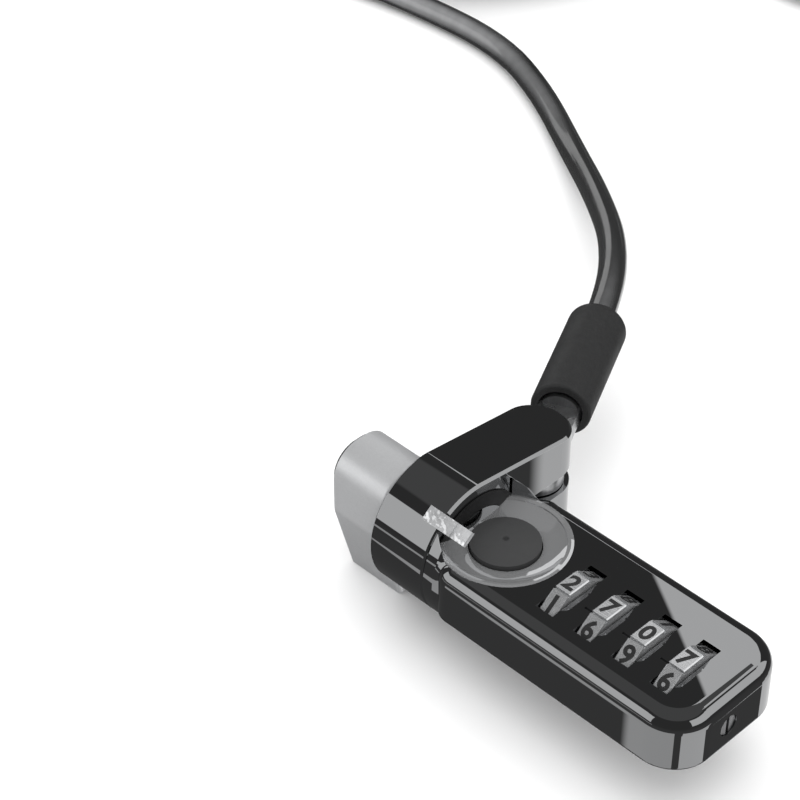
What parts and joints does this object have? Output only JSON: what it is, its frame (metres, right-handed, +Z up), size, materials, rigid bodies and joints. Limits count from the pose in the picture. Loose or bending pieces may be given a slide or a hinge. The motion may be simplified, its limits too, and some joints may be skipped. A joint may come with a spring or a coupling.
{
  "type": "laptop cable lock",
  "caption": "Slim combination cable lock with swivel collar arm, push button, numbered dials, a laptop slot bracket and a coiled security cable.",
  "frame": {"origin": "on the lock's axis, on the bracket's face that is fixed to the laptop", "axes": "+X from the bracket to the tail of the lock, +Y the side that the cable arm points to, +Z up through the button and dials"},
  "size_m": [0.1681, 0.1592, 0.0187],
  "materials": {
    "black_nickel": "mirror-polished black nickel plate",
    "polished_steel": "bright polished steel",
    "dark_bezel": "polished dark chrome ring",
    "machined_steel": "turned and stamped steel",
    "satin_dial": "satin nickel, dark filled digits",
    "button_grey": "fine matte moulding",
    "rubber_black": "matte moulded rubber",
    "cable_jacket": "smooth glossy vinyl over steel rope",
    "aluminium_frost": "bead-blasted anodised aluminium",
    "pad_foam": "adhesive foam pad",
    "nylon": "natural nylon",
    "tie_black": "woven hook tie"
  },
  "bodies": {
    "body": {"bracket_pad": "pad_foam", "slot_bracket": "aluminium_frost", "body_shell": "black_nickel", "bottom_cover": "black_nickel", "cover_screws": "machined_steel", "nose_washer": "machined_steel", "locking_pins": "machined_steel", "button_bezel": "dark_bezel", "detent_spring": "machined_steel", "thrust_washer": "nylon", "button_spring": "machined_steel"},
    "tee": {"tee_bar": "machined_steel"},
    "collar": {"swivel_collar": "black_nickel", "fork_pin": "polished_steel", "swivel_lug": "polished_steel"},
    "cable_end": {"cable_tongue": "machined_steel", "crimp_ferrule": "machined_steel", "rubber_sleeve": "rubber_black", "cable_lead": "cable_jacket", "cable_coil": "cable_jacket", "coil_tie": "tie_black", "cable_tail": "cable_jacket", "end_crimp": "machined_steel", "end_loop": "cable_jacket"},
    "button": {"push_button": "button_grey"},
    "spindle": {"wheel_spindle": "machined_steel"},
    "reset": {"reset_screw": "machined_steel"},
    "dial_1": {"dial_wheel_1": "satin_dial", "clutch_sleeve_1": "machined_steel"},
    "dial_2": {"dial_wheel_2": "satin_dial", "clutch_sleeve_2": "machined_steel"},
    "dial_3": {"dial_wheel_3": "satin_dial", "clutch_sleeve_3": "machined_steel"},
    "dial_4": {"dial_wheel_4": "satin_dial", "clutch_sleeve_4": "machined_steel"}
  },
  "joints": [
    {"name": "collar_swivel", "type": "hinge", "parent": "body", "child": "collar", "pos_m": [0.0121, 0, 0], "axis": [1, 0, 0], "range_deg": [-95, 18]},
    {"name": "tongue_pivot", "type": "hinge", "parent": "collar", "child": "cable_end", "pos_m": [0.0121, 0.01315, 0], "axis": [0, 0, 1], "range_deg": [-101, 48]},
    {"name": "button_press", "type": "slide", "parent": "body", "child": "button", "axis": [0, 0, -1], "range_m": [0, 0.0016], "stiffness_N_per_m": 900, "springref_m": -0.001, "deforming": ["button_spring"]},
    {"name": "tee_turn", "type": "hinge", "parent": "body", "child": "tee", "pos_m": [0.008, 0, 0], "axis": [-1, 0, 0], "range_deg": [0, 90]},
    {"name": "spindle_shift", "type": "slide", "parent": "body", "child": "spindle", "axis": [1, 0, 0], "range_m": [0, 0.0008]},
    {"name": "reset_turn", "type": "hinge", "parent": "body", "child": "reset", "pos_m": [0.048, -0.00105, 0], "axis": [1, 0, 0], "range_deg": [0, 90]},
    {"name": "dial_1_turn", "type": "hinge", "parent": "body", "child": "dial_1", "pos_m": [0.03025, -0.00105, 0], "axis": [1, 0, 0], "continuous": true},
    {"name": "dial_2_turn", "type": "hinge", "parent": "body", "child": "dial_2", "pos_m": [0.03517, -0.00105, 0], "axis": [1, 0, 0], "continuous": true},
    {"name": "dial_3_turn", "type": "hinge", "parent": "body", "child": "dial_3", "pos_m": [0.04009, -0.00105, 0], "axis": [1, 0, 0], "continuous": true},
    {"name": "dial_4_turn", "type": "hinge", "parent": "body", "child": "dial_4", "pos_m": [0.04501, -0.00105, 0], "axis": [1, 0, 0], "continuous": true}
  ],
  "couplings": [
    {"joint": "tee_turn", "follows": "button_press", "rad_per_m": 981.7},
    {"joint": "spindle_shift", "follows": "button_press", "ratio": 0.5}
  ]
}
